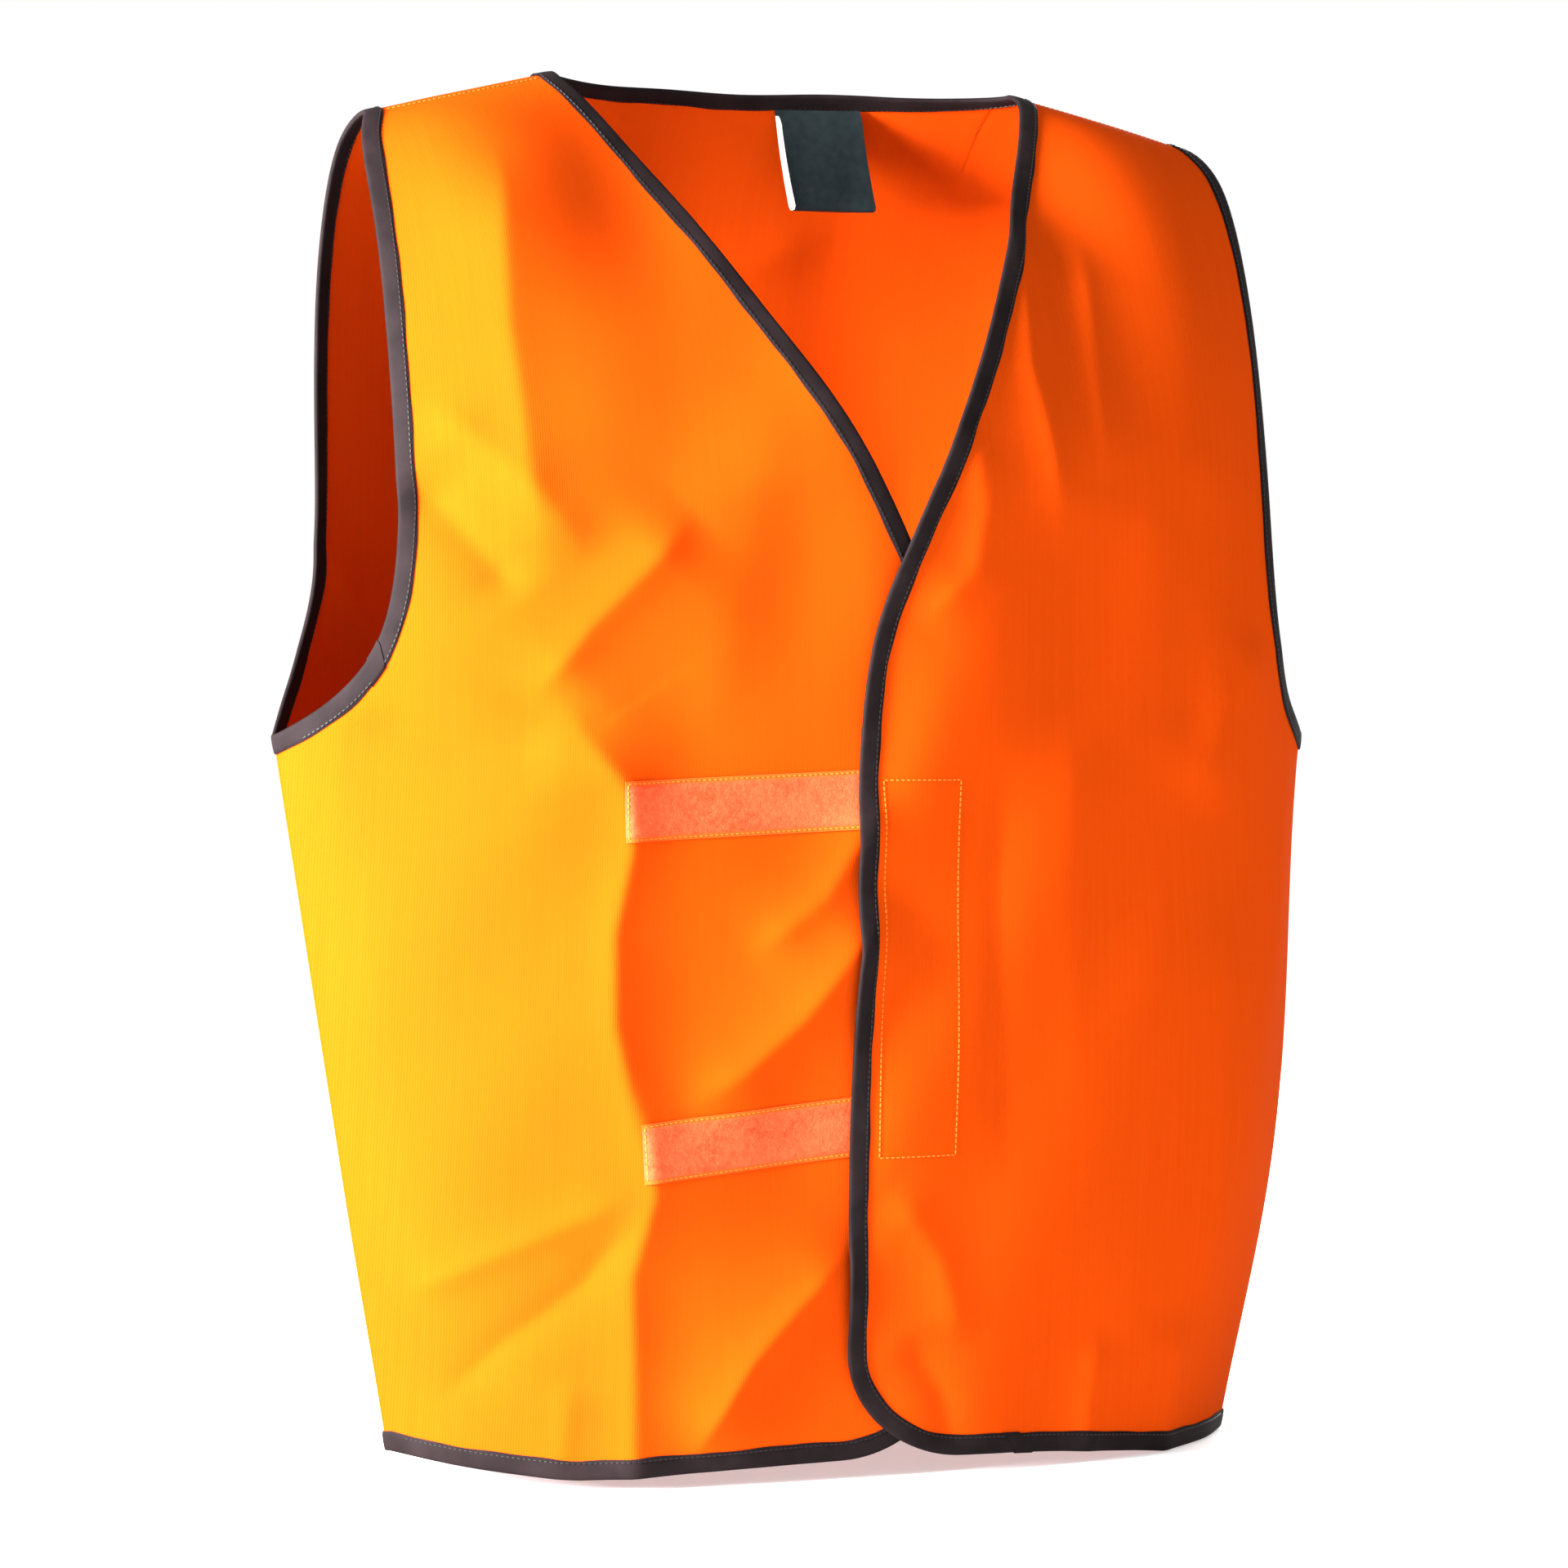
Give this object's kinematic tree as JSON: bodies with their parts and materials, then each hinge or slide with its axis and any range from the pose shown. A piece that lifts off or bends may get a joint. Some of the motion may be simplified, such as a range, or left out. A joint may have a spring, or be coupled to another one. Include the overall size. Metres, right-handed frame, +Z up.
{
  "type": "high visibility vest",
  "caption": "Sleeveless blaze orange knit vest in its worn shape, with a V neck, black bound edges, a lapped touch-tape front and a folded neck label.",
  "frame": {"origin": "under the middle of the vest, on the plane its hem stands on", "axes": "+X to the wearer's left, -Y to the front, +Z up"},
  "size_m": [0.5992, 0.2546, 0.7166],
  "materials": {
    "knit_mesh": "matt warp-knit polyester, fluorescent",
    "binding_tape": "matt folded polyester tape",
    "loop_tape": "napped loop tape",
    "hook_tape": "fine nylon hooks",
    "thread": "polyester thread",
    "label_satin": "satin, dark face and white back"
  },
  "bodies": {
    "torso": {"back_panel": "knit_mesh", "left_front_side": "knit_mesh", "right_front_side": "knit_mesh", "hem_binding": "binding_tape", "neck_binding": "binding_tape", "left_arm_binding": "binding_tape", "right_arm_binding": "binding_tape", "upper_loop_outer": "loop_tape", "lower_loop_outer": "loop_tape", "left_shoulder_stitching": "thread", "right_shoulder_stitching": "thread"},
    "left_flap": {"left_front_flap": "knit_mesh", "left_edge_binding": "binding_tape", "hook_patch": "hook_tape", "hook_stitching": "thread"},
    "right_flap": {"right_front_flap": "knit_mesh", "right_edge_binding": "binding_tape", "upper_loop_inner": "loop_tape", "lower_loop_inner": "loop_tape"},
    "label": {"neck_label": "label_satin"}
  },
  "joints": [
    {"name": "left_front_open", "type": "hinge", "parent": "torso", "child": "left_flap", "pos_m": [0.13, -0.12749, 0], "axis": [-0.1501, 0, 0.9887], "range_deg": [0, 140]},
    {"name": "right_front_open", "type": "hinge", "parent": "torso", "child": "right_flap", "pos_m": [-0.08, -0.1233, 0], "axis": [-0.2395, 0, -0.9709], "range_deg": [0, 56]},
    {"name": "label_flip", "type": "hinge", "parent": "torso", "child": "label", "pos_m": [0.04672, 0.07257, 0.70391], "axis": [-0.9818, 0.19, 0], "range_deg": [0, 80]}
  ],
  "couplings": [
    {"joint": "right_front_open", "follows": "left_front_open", "ratio": 0.4}
  ]
}
